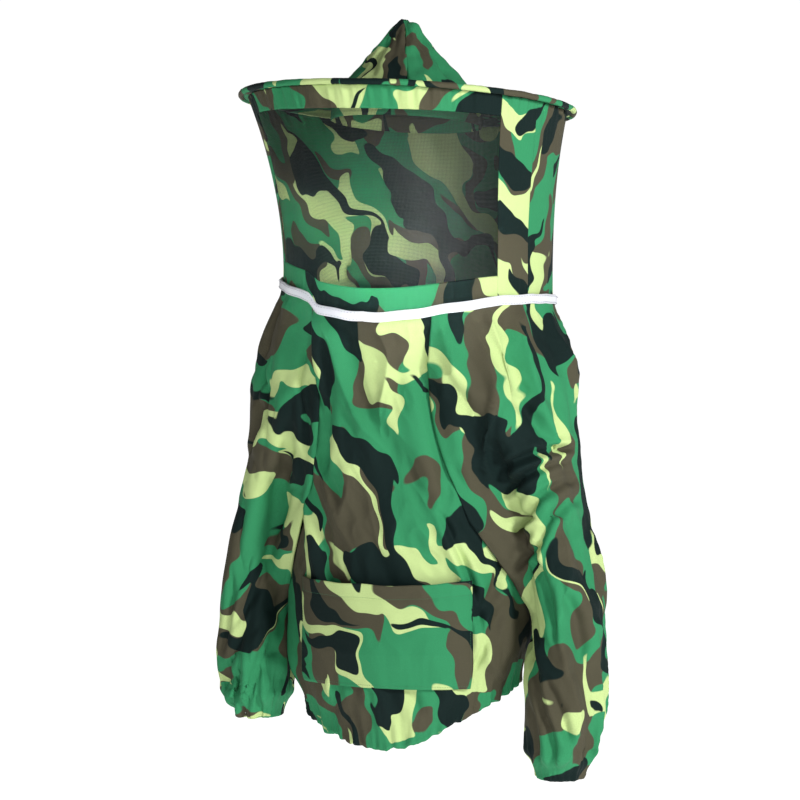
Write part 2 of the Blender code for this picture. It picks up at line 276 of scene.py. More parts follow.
def lengths(p):
    """Distances along rows and columns of a grid, for the print's coordinates."""
    u = np.zeros(p.shape[:2])
    u[:, 1:] = np.cumsum(np.linalg.norm(np.diff(p, axis=1), axis=-1), axis=1)
    v = np.zeros(p.shape[:2])
    v[1:] = np.cumsum(np.linalg.norm(np.diff(p, axis=0), axis=-1), axis=0)
    u = u - u[:, u.shape[1] // 2][:, None]
    return np.stack([u, -v], -1)


def area_of(p, ring=False):
    q = np.concatenate([p, p[:, :1]], 1) if ring else p
    a, b = q[1:, 1:] - q[:-1, :-1], q[1:, :-1] - q[:-1, 1:]
    return float(np.linalg.norm(np.cross(a, b), axis=-1).sum() / 2)


def declare(p, ring=False, spare=1.04):
    """Works out what flat cloth a sheet was cut from, a little more than it shows as gathers hide some, but
    keeps nothing of it.
    """
    area = area_of(p, ring) * spare
    width = float(np.linalg.norm(np.diff(p, axis=1), axis=-1).sum(1).max()) * spare
    length = float(np.linalg.norm(np.diff(p, axis=0), axis=-1).sum(0).max()) * spare
    width, length = round(width, 4), round(length, 4)
    area = min(max(area, 0.301 * width * length), 0.999 * width * length)


def crease(p, n, x0, z0, x1, z1, width, depth, front=True, fade=0.25, lip=0.55):
    """Adds a fold that runs from (x0, z0) to (x1, z1), seen from the front or the back."""
    ax, az = x1 - x0, z1 - z0
    length = math.hypot(ax, az)
    rx, rz = p[..., 0] - x0, p[..., 2] - z0
    t = (rx * ax + rz * az) / length**2
    bow = 0.06 * length * np.sin(np.clip(t, 0, 1) * math.pi)
    d = (rx * az - rz * ax) / length + bow
    w = width * (0.6 + 0.4 * np.sin(np.clip(t, 0, 1) * math.pi))
    along = smooth(t / fade) * smooth((1 - t) / fade)
    facing = smooth(0.5 - p[..., 1] / 0.03) if front else smooth(0.5 + p[..., 1] / 0.03)
    shape = -np.exp(-((d / w) ** 2)) + lip * (
        np.exp(-(((d - 1.5 * w) / (1.1 * w)) ** 2)) + 0.7 * np.exp(-(((d + 1.6 * w) / (1.2 * w)) ** 2))
    )
    return p + n * (depth * along * facing * shape)[..., None]


def drape(p, uv, seed, big, small, fade, ridge=0.0, tall=0.35):
    """Loose, mostly upright unevenness of hanging cloth, long sharper folds and fine wrinkles."""
    n = normals_of(p)
    u, v = uv[..., 0], uv[..., 1]
    lean = u + 0.25 * v
    amount = big * noise(lean / 0.055, v / 0.055 * tall, seed) + 0.5 * big * noise(
        lean / 0.030, v / 0.030 * tall + 7, seed + 1
    )
    sway = 0.6 * noise(u / 0.2, v / 0.16, seed + 9)
    fold = (1 - np.abs(noise(lean / 0.062 + sway, v / 0.24, seed + 10))) ** 4
    amount = amount + ridge * (fold - 0.35) * smooth(0.55 + noise(u / 0.12, v / 0.15, seed + 11))
    ridged = 1 - 2 * np.abs(noise(lean / 0.022 + 3, v / 0.034, seed + 2))
    patch = smooth(0.5 + noise(u / 0.09, v / 0.09, seed + 3))
    amount = amount + small * ridged * patch
    return p + n * (amount * fade)[..., None]


# --- printed cotton --------------------------------------------------------------------------------
def node_tool(tree):
    def make(kind, **inputs):
        node = tree.nodes.new(kind)
        for key, value in inputs.items():
            if key.startswith("p_"):
                setattr(node, key[2:], value)
        for key, value in inputs.items():
            if key.startswith("p_"):
                continue
            socket = node.inputs[int(key[1:])] if key[1:].isdigit() else node.inputs[key]
            if hasattr(value, "is_output"):
                tree.links.new(value, socket)
            else:
                socket.default_value = value
        return node

    return make


def print_group():
    """A woodland print: green ground with brown, lime and blue-black flame-like shapes."""
    tree = bpy.data.node_groups.new("woodland_print", "ShaderNodeTree")
    tree.interface.new_socket("Place", in_out="INPUT", socket_type="NodeSocketVector")
    tree.interface.new_socket("Colour", in_out="OUTPUT", socket_type="NodeSocketColor")
    make = node_tool(tree)
    start, end = make("NodeGroupInput"), make("NodeGroupOutput")

    def wave(vector, scale, detail, distortion, offset, stretch, turn):
        place = make("ShaderNodeMapping", p_vector_type="TEXTURE", i0=vector)
        place.inputs["Location"].default_value = offset
        place.inputs["Rotation"].default_value = (0, 0, math.radians(turn))
        place.inputs["Scale"].default_value = (stretch, 1.0, 1.0)
        tex = make("ShaderNodeTexNoise", p_noise_dimensions="2D", Vector=place.outputs[0])
        tex.inputs["Scale"].default_value = scale
        tex.inputs["Detail"].default_value = detail
        tex.inputs["Roughness"].default_value = 0.45
        tex.inputs["Distortion"].default_value = distortion
        return tex

    warp = wave(start.outputs[0], 16.0, 1.0, 0.0, (3.1, 1.7, 0), 1.0, 0)
    centred = make("ShaderNodeVectorMath", p_operation="SUBTRACT", i0=warp.outputs["Color"])
    centred.inputs[1].default_value = (0.5, 0.5, 0.5)
    scaled = make("ShaderNodeVectorMath", p_operation="SCALE", i0=centred.outputs[0])
    scaled.inputs["Scale"].default_value = 0.065
    moved = make("ShaderNodeVectorMath", p_operation="ADD", i0=start.outputs[0], i1=scaled.outputs[0])
    place = moved.outputs[0]

    def mask(tex, edge, soft=0.004):
        lift = make("ShaderNodeMapRange", p_clamp=True, i0=tex)
        lift.inputs[1].default_value, lift.inputs[2].default_value = edge - soft, edge + soft
        return lift.outputs[0]

    def over(below, colour, amount):
        mix = make("ShaderNodeMix", p_data_type="RGBA")
        tree.links.new(amount, mix.inputs[0])
        tree.links.new(below, mix.inputs[6])
        mix.inputs[7].default_value = (*colour, 1)
        return mix.outputs[2]

    ground = make("ShaderNodeRGB")
    ground.outputs[0].default_value = (*GREEN, 1)
    brown = mask(wave(place, 17.0, 0.7, 0.25, (0.0, 0.0, 0), 1.9, -62).outputs[0], 0.530)
    lime = mask(wave(place, 21.0, 0.8, 0.30, (5.3, 2.2, 0), 2.3, -48).outputs[0], 0.592)
    navy = mask(wave(place, 21.0, 1.0, 0.35, (9.7, 4.1, 0), 2.3, -52).outputs[0], 0.583)
    colour = over(ground.outputs[0], BROWN, brown)
    colour = over(colour, LIME, lime)
    colour = over(colour, NAVY, navy)
    tree.links.new(colour, end.inputs[0])
    return tree


PRINT = print_group()
cottons = []


def cotton(shift, turn):
    """Printed cotton whose pattern is laid with this shift and turn: each cut piece has its own."""
    m = bpy.data.materials.new(f"cotton_{len(cottons):02d}")
    cottons.append(m)
    m.use_nodes = True
    tree = m.node_tree
    make = node_tool(tree)
    shader = tree.nodes["Principled BSDF"]
    uv = make("ShaderNodeUVMap", p_uv_map="print")
    place = make("ShaderNodeMapping", p_vector_type="POINT", i0=uv.outputs[0])
    place.inputs["Location"].default_value = (shift[0], shift[1], 0)
    place.inputs["Rotation"].default_value = (0, 0, math.radians(turn))
    group = tree.nodes.new("ShaderNodeGroup")
    group.node_tree = PRINT
    tree.links.new(place.outputs[0], group.inputs[0])
    # slight unevenness of the dye and of the thread
    speck = make("ShaderNodeTexNoise", p_noise_dimensions="2D", Vector=uv.outputs[0])
    speck.inputs["Scale"].default_value = 900.0
    speck.inputs["Detail"].default_value = 2.0
    vary = make("ShaderNodeMapRange", p_clamp=True, i0=speck.outputs[0])
    vary.inputs[1].default_value, vary.inputs[2].default_value = 0.25, 0.75
    vary.inputs[3].default_value, vary.inputs[4].default_value = 0.90, 1.08
    tone = make("ShaderNodeVectorMath", p_operation="SCALE", i0=group.outputs[0])
    tree.links.new(vary.outputs[0], tone.inputs["Scale"])
    tree.links.new(tone.outputs[0], shader.inputs["Base Color"])
    weave = make("ShaderNodeTexWave", p_wave_type="BANDS", p_bands_direction="DIAGONAL",
                 Vector=uv.outputs[0])
    weave.inputs["Scale"].default_value = 330.0
    fine = make("ShaderNodeTexNoise", p_noise_dimensions="2D", Vector=uv.outputs[0])
    fine.inputs["Scale"].default_value = 160.0
    fine.inputs["Detail"].default_value = 3.0
    high = make("ShaderNodeMath", p_operation="MULTIPLY_ADD", i0=fine.outputs[0], i2=weave.outputs["Fac"])
    high.inputs[1].default_value = 2.5
    bump = make("ShaderNodeBump", Height=high.outputs[0])
    bump.inputs["Strength"].default_value = 0.35
    bump.inputs["Distance"].default_value = 0.0005
    tree.links.new(bump.outputs[0], shader.inputs["Normal"])
    shader.inputs["Roughness"].default_value = 0.78
    shader.inputs["Specular IOR Level"].default_value = 0.12
    shader.inputs["Sheen Weight"].default_value = 0.01
    shader.inputs["Sheen Roughness"].default_value = 0.5
    return m


def plain(name, colour, roughness=0.6, metallic=0.0, sheen=0.0):
    m = bpy.data.materials.new(name)
    m.use_nodes = True
    s = m.node_tree.nodes["Principled BSDF"]
    s.inputs["Base Color"].default_value = (*colour, 1)
    s.inputs["Roughness"].default_value = roughness
    s.inputs["Metallic"].default_value = metallic
    s.inputs["Sheen Weight"].default_value = sheen
    return m


def tape_cloth():
    m = plain("white_tape", WHITE, 0.55, sheen=0.1)
    tree = m.node_tree
    make = node_tool(tree)
    uv = make("ShaderNodeUVMap", p_uv_map="print")
    weave = make("ShaderNodeTexWave", p_wave_type="BANDS", p_bands_direction="X", Vector=uv.outputs[0])
    weave.inputs["Scale"].default_value = 260.0
    bump = make("ShaderNodeBump", Height=weave.outputs["Fac"])
    bump.inputs["Strength"].default_value = 0.25
    bump.inputs["Distance"].default_value = 0.0003
    tree.links.new(bump.outputs[0], tree.nodes["Principled BSDF"].inputs["Normal"])
    return m


white_tape = tape_cloth()
webbing = plain("elastic_webbing", (0.75, 0.75, 0.75), 0.7)
net_black = plain("black_netting", (0.006, 0.012, 0.012), 0.55)
steel = plain("spring_steel", (0.5, 0.5, 0.52), 0.3, 1.0)
thread = plain("thread", (0.02, 0.13, 0.055), 0.6)
white_thread = plain("white_thread", (0.30, 0.31, 0.35), 0.7)

# --- hat -------------------------------------------------------------------------------------------
hat_place = Matrix.Translation((HAT_X, 0, BRIM_Z)) @ Matrix.Rotation(BRIM_ROLL, 4, "Y")
hat_m = np.array(hat_place)


def to_world(p):
    return p @ hat_m[:3, :3].T + hat_m[:3, 3]


def turned(angle, radius, z):
    angle, radius, z = np.broadcast_arrays(*(np.asarray(a, float) for a in (angle, radius, z)))
    return np.stack([radius * np.sin(angle), -radius * np.cos(angle), z], -1)


CROWN_SEAMS = [math.radians(22.0 + 90 * k) for k in range(4)]
CROWN_NAMES = ["crown_front_left", "crown_back_left", "crown_back_right", "crown_front_right"]


def crown_point(angle, t):
    """t is 0 at the tip and 1 at the brim. The soft cone has a dent between seams and a pinched tip."""
    radius = 0.0022 + (CROWN_RADIUS - 0.0022) * t**0.92
    z = 0.001 + (CROWN_HEIGHT + 0.003) * (1 - t) * (1 - 0.10 * t)
    phase = (np.asarray(angle) - CROWN_SEAMS[0]) / (math.pi / 2)
    off_seam = np.abs(phase - np.round(phase)) * 2  # 0 on a seam, 1 between seams
    mid = np.sin(np.clip(t, 0, 1) * math.pi)
    dent = -0.006 * smooth(off_seam) * mid
    crumple = 0.0042 * noise(np.asarray(angle) * 2.2, t * 4.0, 41) * mid**0.7
    crumple = crumple + 0.0022 * noise(np.asarray(angle) * 5.0, t * 7.0, 42) * smooth(t * 3)
    # a second, lower point beside the tip
    side = np.exp(-((np.remainder(np.asarray(angle) - 1.25 + math.pi, math.tau) - math.pi) / 0.55) ** 2)
    rise, dip = np.exp(-(((t - 0.13) / 0.07) ** 2)), np.exp(-(((t - 0.05) / 0.03) ** 2))
    second = side * (0.006 * rise - 0.003 * dip)
    radius = radius + dent + crumple + second
    p = turned(angle, np.maximum(radius, 0.001), z + 0.35 * crumple + second * 0.8)
    p[..., 0] -= 0.011 * (1 - t) ** 1.2
    return p


for k, name in enumerate(CROWN_NAMES):
    rows, cols = 46, 40
    t = np.linspace(0.02, 1.0, rows)[:, None]
    share = np.linspace(0, 1, cols)[None, :]
    a = CROWN_SEAMS[k] + share * math.pi / 2
    local = crown_point(np.broadcast_to(a, (rows, cols)), np.broadcast_to(t, (rows, cols)))
    # the cloth is drawn in along each seam
    seam = np.minimum(share, 1 - share) * (math.pi / 2) * np.linspace(0.002, CROWN_RADIUS, rows)[:, None]
    n = normals_of(local)
    local = local - n * (0.0016 * np.exp(-((seam / 0.0022) ** 2)))[..., None]
    p = to_world(local)
    uv = lengths(p)
    o = add(f"{name}_cloth", p, uv, cotton((0.4 + 0.37 * k, 0.2 * k), 35 + 50 * k))
    declare(p, spare=1.05)
    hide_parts(name, *(["crown_tip"] if k == 0 else []))
    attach(o, "hat")



def circle(count, rows=1):
    """Angles of a closed ring of columns, repeated for each row."""
    return np.broadcast_to(np.linspace(0, math.tau, count + 1)[:-1][None, :], (rows, count))


def brim_layer(name, z, outer, shift):
    inner = CROWN_RADIUS - 0.001
    a = circle(240, 30)
    r = np.linspace(inner, outer, 30)[:, None]
    sag = 0.0016 * noise(a * 4.0, r * 30, 51) * np.sin((r - inner) / (outer - inner) * math.pi)
    local = turned(a, np.broadcast_to(r, a.shape), z + sag)
    p = to_world(local)
    uv = np.stack([local[..., 0], local[..., 1]], -1)
    if z < 0:
        p, uv = p[::-1], uv[::-1]
    o = add(f"{name}_cloth", p, uv, cotton((0.9, shift), 15), ring=True)
    declare(p, ring=True)
    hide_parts(name)
    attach(o, "hat")


def brim_binding():
    """The cloth folded over the hoop, open at the inside where the brim's layers go in."""
    lips = np.radians(np.linspace(165, -165, 22))[:, None]
    a = circle(360, 22)
    radius = BINDING_RADIUS * (1 + 0.10 * noise(a * 26, lips, 61))
    wobble = 0.0005 * noise(a * 9, 0.3, 62)
    p = to_world(turned(a, HOOP_RADIUS + radius * np.cos(lips), radius * np.sin(lips) + wobble))
    uv = np.stack([a * HOOP_RADIUS, np.broadcast_to(lips * BINDING_RADIUS, a.shape)], -1)
    o = add("brim_binding_cloth", p, uv, cotton((0.15, 0.75), 8), ring=True, thick=0.0005)
    declare(p, ring=True)
    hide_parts("brim_binding")
    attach(o, "hat")


def sweatband():
    a = circle(120, 6)
    drop = np.broadcast_to(np.linspace(-0.003, -0.024, 6)[:, None], a.shape)
    p = to_world(turned(a, SWEATBAND_RADIUS + 0.0008 * noise(a * 6, drop * 40, 66), drop))
    uv = np.stack([a * SWEATBAND_RADIUS, drop], -1)
    o = add("sweatband_cloth", p, uv, cotton((0.5, 1.9), 80), ring=True, thick=0.0015)
    declare(p, ring=True)
    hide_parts("sweatband")
    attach(o, "hat")


brim_layer("brim_top", BRIM_HALF_GAP, 0.2068, 0.3)
brim_layer("brim_underside", -BRIM_HALF_GAP, 0.2064, 1.3)
brim_binding()
sweatband()
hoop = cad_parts["brim_hoop"]
hoop.data.materials.clear()
hoop.data.materials.append(steel)

# --- veil ------------------------------------------------------------------------------------------
PLEAT_SEED = 71


def pleats(angle, height, seed=PLEAT_SEED):
    """How far the veil's cloth stands out: gathers at the brim, small folds at the tape, broad waves."""
    """The veil's top edge is gathered to the brim, in uneven upright pleats."""
    near = np.exp(-(1 - np.clip(height, 0, 1)) / 0.10)
    amount = 0.0030 * noise(angle * 15.0, height * 2.0, seed)
    amount = amount + 0.0016 * noise(angle * 33.0, height * 3.0, seed + 1)
    low = np.exp(-np.clip(height, 0, 1) / 0.06)
    foot = 0.0022 * noise(angle * 11.0, height * 3.0, seed + 2) + 0.001 * noise(angle * 30.0, 0.5, seed + 3)
    broad = 0.0022 * noise(angle * 5.0, height * 1.1, seed + 4)
    return near * amount + low * foot + broad * np.sin(np.clip(height, 0, 1) * math.pi) ** 0.6


def veil_panel(node, a0, a1, h0, h1, cols, rows, finish):
    a = np.linspace(a0, a1, cols)[None, :]
    h = np.linspace(h1, h0, rows)[:, None]
    a, h = np.broadcast_arrays(a, h)
    p = veil(a, h, pleats(a, h))
    uv = np.stack([a * 0.18, h * VEIL_HEIGHT], -1)
    o = add(f"{node}_cloth", p, uv, finish)
    declare(p, spare=1.08)
    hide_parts(node)
    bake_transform(o)


WINDOW_LOW, WINDOW_HIGH = 0.125, 0.90  # shares of the veil's height
veil_panel("veil_top_strip", -WINDOW_ANGLE, WINDOW_ANGLE, WINDOW_HIGH, 1.0, 260, 16, cotton((2.1, 0.4), 70))
veil_panel("veil_left_strip", WINDOW_ANGLE, FRONT_ANGLE, 0.0, 1.0, 50, 90, cotton((2.6, 1.1), -25))
veil_panel("veil_right_strip", -FRONT_ANGLE, -WINDOW_ANGLE, 0.0, 1.0, 50, 90, cotton((0.6, 2.1), -5))
veil_panel("veil_bottom_strip", -WINDOW_ANGLE, WINDOW_ANGLE, 0.0, WINDOW_LOW, 260, 14,
           cotton((3.0, 0.2), 15))
veil_panel("veil_back", FRONT_ANGLE, math.tau - FRONT_ANGLE, 0.0, 1.0, 420, 90, cotton((4.2, 1.6), 75))


def netting():
    """Knitted netting as a lattice of flat threads about 1.6 mm apart."""
    pitch, thread_width = 0.0016, 0.00022
    radius, behind, past = 0.178, 0.0006, 0.02
    span = (WINDOW_ANGLE + 0.01) * 2 * radius
    columns = int(span / pitch)
    lines = int(0.215 / pitch)
    verts, quads = [], []

    def ribbon(a, h, across_a, across_h):
        base = sum(len(v) for v in verts)
        k = len(a)
        out = pleats(a, h) - behind
        both = np.concatenate([veil(a - across_a, h - across_h, out), veil(a + across_a, h + across_h, out)])
        verts.append(both)
        i = np.arange(k - 1)
        quads.append(np.stack([base + i, base + i + 1, base + k + i + 1, base + k + i], -1))

    edge = WINDOW_ANGLE + 0.008
    half_a = thread_width / 2 / radius
    half_h = thread_width / 2 / VEIL_HEIGHT
    for c in range(columns + 1):
        angle = -edge + 2 * edge * c / columns
        h = np.linspace(WINDOW_LOW - past, WINDOW_HIGH + past, 24)
        ribbon(np.full(24, angle), h, half_a, 0.0)
    for r in range(lines + 1):
        height = WINDOW_LOW - past + (WINDOW_HIGH - WINDOW_LOW + 2 * past) * r / lines
        a = np.linspace(-edge, edge, 90)
        ribbon(a, np.full(90, height), 0.0, half_h)
    mesh = bpy.data.meshes.new("veil_netting")
    mesh.from_pydata(np.concatenate(verts).tolist(), [], np.concatenate(quads).tolist())
    mesh.materials.append(net_black)
    mesh.shade_smooth()
    o = bpy.data.objects.new("veil_netting", mesh)
    bpy.context.scene.collection.objects.link(o)
    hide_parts("veil_mesh")
    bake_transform(o)


netting()

# --- neck tape -------------------------------------------------------------------------------------
def tape_band():
    """The folded tape: a flat band with rounded edges and a groove at each row of stitches."""
    a = circle(480)
    # height above the ring's middle, and how far out
    profile = [(0.0057, 0.0004), (0.0058, 0.0018), (0.0050, 0.0025), (0.0036, 0.0024), (0.0, 0.0026),
               (-0.0034, 0.0023), (-0.0040, 0.0019), (-0.0046, 0.0023), (-0.0056, 0.0022),
               (-0.0059, 0.0016), (-0.0058, 0.0004)]
    high_row, low_row = 3, 6
    dz = np.array([q[0] for q in profile])[:, None]
    dr = np.array([q[1] for q in profile])[:, None]
    a, dz, dr = np.broadcast_arrays(a, dz, dr)
    wander = 0.0016 * noise(a * 4.5, 0.2, 81)
    out = dr + 0.0012 * noise(a * 9.0, dz * 60, 82) + 0.0025 * noise(a * 3.0, 1.3, 83)
    radius = NECK_RADIUS + 0.0015 + out
    p = np.stack([NECK_X + radius * np.sin(a), -radius * np.cos(a), neck_z(a) + dz + wander], -1)
    uv = np.stack([a * NECK_RADIUS, dz], -1)
    o = add("neck_tape_band", p, uv, white_tape, ring=True, thick=0.0006)
    declare(p, ring=True)
    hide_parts("neck_tape")
    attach(o, "jacket")
    return [np.concatenate([p[row], p[row, :1]]) for row in (low_row, high_row)]


TAPE_LOW, TAPE_HIGH = tape_band()

# --- body panels -----------------------------------------------------------------------------------
FRONT_FOLDS = [
    # from x and z, to x and z, width, depth
    (-0.055, -0.03, -0.080, -0.24, 0.009, 0.0050),
    (0.045, -0.05, 0.088, -0.27, 0.010, 0.0050),
    (-0.025, -0.10, 0.070, -0.31, 0.014, 0.0040),
    (-0.095, -0.20, -0.070, -0.42, 0.011, 0.0055),
    (0.075, -0.25, 0.115, -0.37, 0.0055, 0.0058),
    (0.092, -0.29, 0.120, -0.44, 0.0050, 0.0055),
    (0.138, -0.31, 0.108, -0.40, 0.0055, 0.0055),
    (0.136, -0.37, 0.100, -0.46, 0.0055, 0.0050),
    (0.000, -0.475, 0.000, -0.545, 0.0040, 0.0030),
    (-0.05, -0.45, -0.085, -0.54, 0.009, 0.0045),
    (-0.01, -0.46, -0.02, -0.55, 0.008, 0.0035),
    (0.03, -0.46, 0.06, -0.54, 0.009, 0.0045),
    (0.075, -0.44, 0.11, -0.50, 0.008, 0.0045),
]
BACK_FOLDS = [
    (-0.05, -0.05, 0.02, -0.30, 0.014, 0.0035),
    (0.06, -0.08, 0.09, -0.33, 0.014, 0.004),
    (0.01, -0.25, -0.06, -0.46, 0.016, 0.004),
]


def turned_under(last, centre, droop, rise):
    """Rows that carry a panel's last row inwards round a hem's edge and then up inside it."""
    inward = centre - last
    inward[:, 2] = 0
    inward = inward / np.linalg.norm(inward, axis=-1, keepdims=True)
    rows = []
    for i in range(1, TURNED_ROWS + 1):
        t = i / TURNED_ROWS
        angle = min(t / 0.45, 1.0) * math.pi
        depth = 0.004 * (1 - math.cos(angle))
        height = -droop * math.sin(angle) + max(0.0, t - 0.45) * rise
        rows.append(last + inward * depth + np.array([0, 0, 1.0]) * height)
    return np.array(rows)


def body_panel(node, turn, finish, seed, folds, front):
    cols, rows = 150, 240
    share = np.linspace(-1, 1, cols)[None, :]
    down = np.linspace(0, 1, rows)[:, None]
    share, down = np.broadcast_arrays(share, down)
    top = neck_z(turn + 0.5 * share)
    low = hem_z(turn + share * math.pi / 2)
    z = top + (low - top) * down
    # at the side seams the back lies just inside the front
    inside = 0.0 if front else 0.0012 * smooth(1 - (1 - np.abs(share)) / 0.05)
    flat_p = body(turn + share * (raglan(z) + 0.018), z, -inside)
    above_hem = z - low - 0.014
    seams = 0.35 + 0.65 * smooth((1 - np.abs(share)) / 0.08)
    fade = smooth(down / 0.05) * seams * smooth(above_hem / 0.035)
    draped = drape(flat_p, lengths(flat_p), seed, big=0.0075, small=0.0018, fade=fade, ridge=0.0085)
    n = normals_of(draped)
    p = draped
    for fold in folds:
        p = crease(p, n, *fold, front=front)
    p = draped + (p - draped) * (smooth(above_hem / 0.030) * smooth(down / 0.04))[..., None]
    hem = turned_under(p[-1], np.zeros(3), 0.004, 0.028)
    p = np.concatenate([p, hem], 0)
    uv = lengths(np.concatenate([flat_p, hem], 0))
    o = add(f"{node}_cloth", p, uv, finish)
    declare(p)
    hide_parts(node)
    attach(o, "jacket")
    return o


front_cloth = body_panel("front_panel", 0.0, cotton((0.31, 0.12), 12), 101, FRONT_FOLDS, True)
body_panel("back_panel", math.pi, cotton((1.7, 0.9), -20), 131, BACK_FOLDS, False)
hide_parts("hem_casing")

# --- pocket ----------------------------------------------------------------------------------------
def pocket():
    """The patch pocket. It returns its stitched lines, each with the cloth's normals."""
    cols, rows = 110, 70
    s = np.linspace(-1, 1, cols)[None, :]
    d = np.linspace(-1, 1, rows)[:, None]
    s, d = np.broadcast_arrays(s, d)
    top_hem_row = 9
    z = POCKET_TOP + (POCKET_BOTTOM - POCKET_TOP) * (d + 1) / 2
    sag = -0.0055 * (1 - s**2) * (1 - d) / 2 + 0.003 * noise(s * 2.2, 0.4, 91) * (1 - d) / 2
    z = z + sag
    full = (1 - np.abs(s) ** 5) * np.minimum(1.0, 1.5 * (1 - d))
    out = 0.0052 + 0.0085 * full
    p = body(POCKET_ANGLE * s, z, out)
    uv = np.stack([s * 0.113, -(d + 1) / 2 * 0.13], -1)
    inner = smooth((1 - np.abs(s)) / 0.05) * smooth((1 - d) / 0.05)
    p = drape(p, uv, 161, big=0.0022, small=0.0010, fade=inner)
    n = normals_of(p)
    groove = np.exp(-(((d + 1) * 0.065 - 0.018) / 0.0016) ** 2)
    p = p - n * (0.0007 * groove)[..., None]
    o = add("pocket_cloth", p, uv, cotton((2.2, 0.35), -14), thick=0.0012)
    declare(p)
    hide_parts("pocket", "pocket_hem")
    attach(o, "jacket")
    n = normals_of(p)
    return [(p[:, 2], n[:, 2]), (p[:, -3], n[:, -3]), (p[-3], n[-3]), (p[top_hem_row], n[top_hem_row])]


POCKET_LINES = pocket()

# --- sleeves ---------------------------------------------------------------------------------------
LEFT_FOLDS = [
    (0.140, -0.212, 0.222, -0.180, 0.0058, 0.0085),
    (0.135, -0.250, 0.212, -0.196, 0.0055, 0.0080),
    (0.150, -0.300, 0.222, -0.214, 0.0062, 0.0075),
    (0.180, -0.330, 0.226, -0.235, 0.0055, 0.0055),
    (0.148, -0.285, 0.190, -0.262, 0.0050, 0.0060),
    (0.150, -0.335, 0.200, -0.290, 0.0052, 0.0055),
    (0.165, -0.120, 0.205, -0.200, 0.0065, 0.0055),
    (0.105, -0.100, 0.150, -0.240, 0.012, 0.0075),
    (0.085, -0.060, 0.125, -0.270, 0.011, 0.0060),
    (0.140, -0.050, 0.185, -0.180, 0.012, 0.0055),
    (0.175, -0.300, 0.215, -0.420, 0.0065, 0.0055),
    (0.215, -0.330, 0.235, -0.460, 0.0065, 0.0050),
    (0.165, -0.400, 0.205, -0.530, 0.0070, 0.0060),
    (0.195, -0.440, 0.235, -0.540, 0.0065, 0.0055),
    (0.180, -0.480, 0.190, -0.565, 0.0055, 0.0050),
    (0.205, -0.490, 0.210, -0.565, 0.0055, 0.0050),
]


def sleeve_piece(side, word, finish, seed, folds):
    """A raglan top, its sleeve and its cuff, cut as one cloth. side is 1 for left and -1 for right."""
    cols, rows = 180, 250
    share = np.linspace(0, 1, cols)[None, :]
    down = np.linspace(0, 1, rows)[:, None]
    share, down = np.broadcast_arrays(share, down)
    start = RAGLAN_ANGLE
    top = neck_z((start + (math.pi - 2 * start) * share) * side)
    low = sleeve_keys(side)[-1][0]
    z = top + (low - top) * down
    flat_p = sleeve(side, share, z)
    rise = z - low
    turn = share * math.tau
    cuff = smooth((rise - 0.012) / 0.02)
    broad = 0.0085 * noise(turn * 3.0, rise * 9, seed + 5)
    fine = 0.0055 * noise(turn * 7.0, rise * 14, seed + 6)
    gathers = np.exp(-rise / 0.040) * (broad + fine) * (0.25 + 0.75 * cuff)
    p = flat_p + side * normals_of(flat_p) * gathers[..., None]
    fade = smooth(down / 0.05) * (0.3 + 0.7 * smooth(np.minimum(share, 1 - share) / 0.06)) * cuff
    p = drape(p, lengths(flat_p), seed, big=0.0080, small=0.0026, fade=fade, ridge=0.0130)
    n = side * normals_of(p)
    for x0, z0, x1, z1, width, depth in folds:
        p = crease(p, n, side * x0, z0, side * x1, z1, width, depth)
    cuff_rows = turned_under(p[-1], p[-1].mean(0), 0.003, 0.024)
    p = np.concatenate([p, cuff_rows], 0)
    uv = lengths(np.concatenate([flat_p, cuff_rows], 0))
    o = add(f"{word}_sleeve_cloth", p, uv, finish, flip=side < 0)
    declare(p)
    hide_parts(f"{word}_shoulder", f"{word}_sleeve", f"{word}_cuff_casing")
    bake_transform(o)


sleeve_piece(1, "left", cotton((5.1, 2.3), 30), 201, LEFT_FOLDS)
sleeve_piece(-1, "right", cotton((6.4, 0.6), -35), 231, LEFT_FOLDS[6:])


# --- elastic ---------------------------------------------------------------------------------------
def elastic(node, edge, body_name, columns=240):
    """A flat elastic inside a turned-up hem. edge(angle, rise) is its surface."""
    rise = np.linspace(0.003, 0.0135, 4)[:, None]
    a, rise = np.broadcast_arrays(circle(columns), rise)
    p = edge(a, rise)
    uv = np.stack([a * 0.1, rise], -1)
    o = add(f"{node}_band", p, uv, webbing, ring=True, thick=0.0008)
    declare(p, ring=True)
    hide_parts(node)
    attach(o, body_name)


def hem_edge(a, rise):
    return body(a, hem_z(a) + rise, -HEM_ELASTIC_INSET)


def cuff_edge(side):
    keys = sleeve_keys(side)
    low = keys[-1][0]
    cx, cy, hx, hy = keys[-1][1:]
    hx, hy = hx - CUFF_ELASTIC_INSET, hy - CUFF_ELASTIC_INSET

    def edge(a, rise):
        return np.stack([side * cx + hx * np.sin(a), cy - hy * np.cos(a), low + rise], -1)

    return edge


elastic("hem_elastic", hem_edge, "jacket", 960)
elastic("left_cuff_elastic", cuff_edge(1), "sleeve_left")
elastic("right_cuff_elastic", cuff_edge(-1), "sleeve_right")


